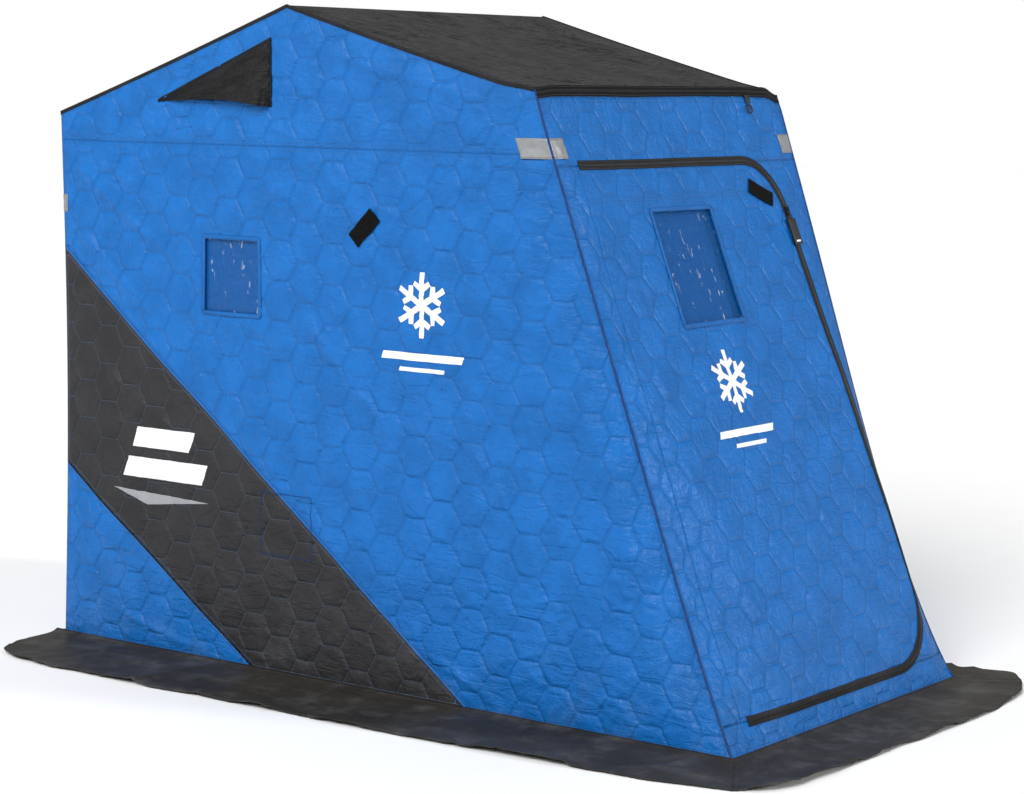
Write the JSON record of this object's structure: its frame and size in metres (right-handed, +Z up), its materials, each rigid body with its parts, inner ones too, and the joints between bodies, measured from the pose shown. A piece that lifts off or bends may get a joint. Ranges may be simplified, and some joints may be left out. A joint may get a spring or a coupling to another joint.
{
  "type": "flip-over ice fishing hut",
  "caption": "Flip-over fabric ice fishing hut: quilted walls on folding bows, zipped hinged door in the sloping front, windows, vents and ground skirt.",
  "frame": {"origin": "on the ground, under the middle of the bounding box with the skirt", "axes": "+Z up, the door faces -Y, +X runs across the width to the right as seen from the door side"},
  "size_m": [1.826, 2.606, 1.83],
  "materials": {
    "quilt_blue": "matte quilted nylon",
    "quilt_black": "matte quilted nylon",
    "roof_cloth": "matte woven polyester",
    "skirt_cloth": "matte coated nylon",
    "clear_film": "gloss",
    "hook_tape": "matte hook and loop tape",
    "zip_tape": "matte woven tape",
    "hardware": "satin moulded plastic",
    "reflector": "satin reflective tape",
    "frame_tube": "satin powder coat"
  },
  "bodies": {
    "shelter": {"rear_wall": "quilt_blue", "roof_rear": "roof_cloth", "roof_front": "roof_cloth", "roof_hem": "roof_cloth", "left_gable": "quilt_blue", "right_gable": "quilt_blue", "left_wall_front": "quilt_blue", "right_wall_front": "quilt_blue", "left_wall_band": "quilt_black", "right_wall_band": "quilt_black", "left_wall_corner": "quilt_blue", "right_wall_corner": "quilt_blue", "left_window": "clear_film", "right_window": "clear_film", "left_window_cover": "quilt_blue", "right_window_cover": "quilt_blue", "left_vent_hood": "roof_cloth", "right_vent_hood": "roof_cloth", "left_patch": "hook_tape", "right_patch": "hook_tape", "front_header": "quilt_blue", "front_left_strip": "quilt_blue", "front_right_strip": "quilt_blue", "front_sill": "quilt_blue", "front_zip_tape": "zip_tape", "front_reflectors": "reflector", "rear_reflectors": "reflector", "hanging_hook": "hardware", "skirt_left": "skirt_cloth", "skirt_right": "skirt_cloth", "skirt_front": "skirt_cloth", "skirt_rear": "skirt_cloth", "rear_bow": "frame_tube", "peak_bow": "frame_tube", "front_bow": "frame_tube", "base_bow": "frame_tube", "left_pivot": "hardware", "right_pivot": "hardware"},
    "door": {"door_flap": "quilt_blue", "door_window": "clear_film", "door_window_cover": "quilt_blue", "door_patch": "hook_tape", "door_zip": "zip_tape", "zip_slider": "hardware"}
  },
  "joints": [
    {"name": "door_hinge", "type": "hinge", "parent": "shelter", "child": "door", "pos_m": [-0.49, -0.427, 1.607], "axis": [0, -0.363, -0.9318], "range_deg": [0, 120]}
  ]
}
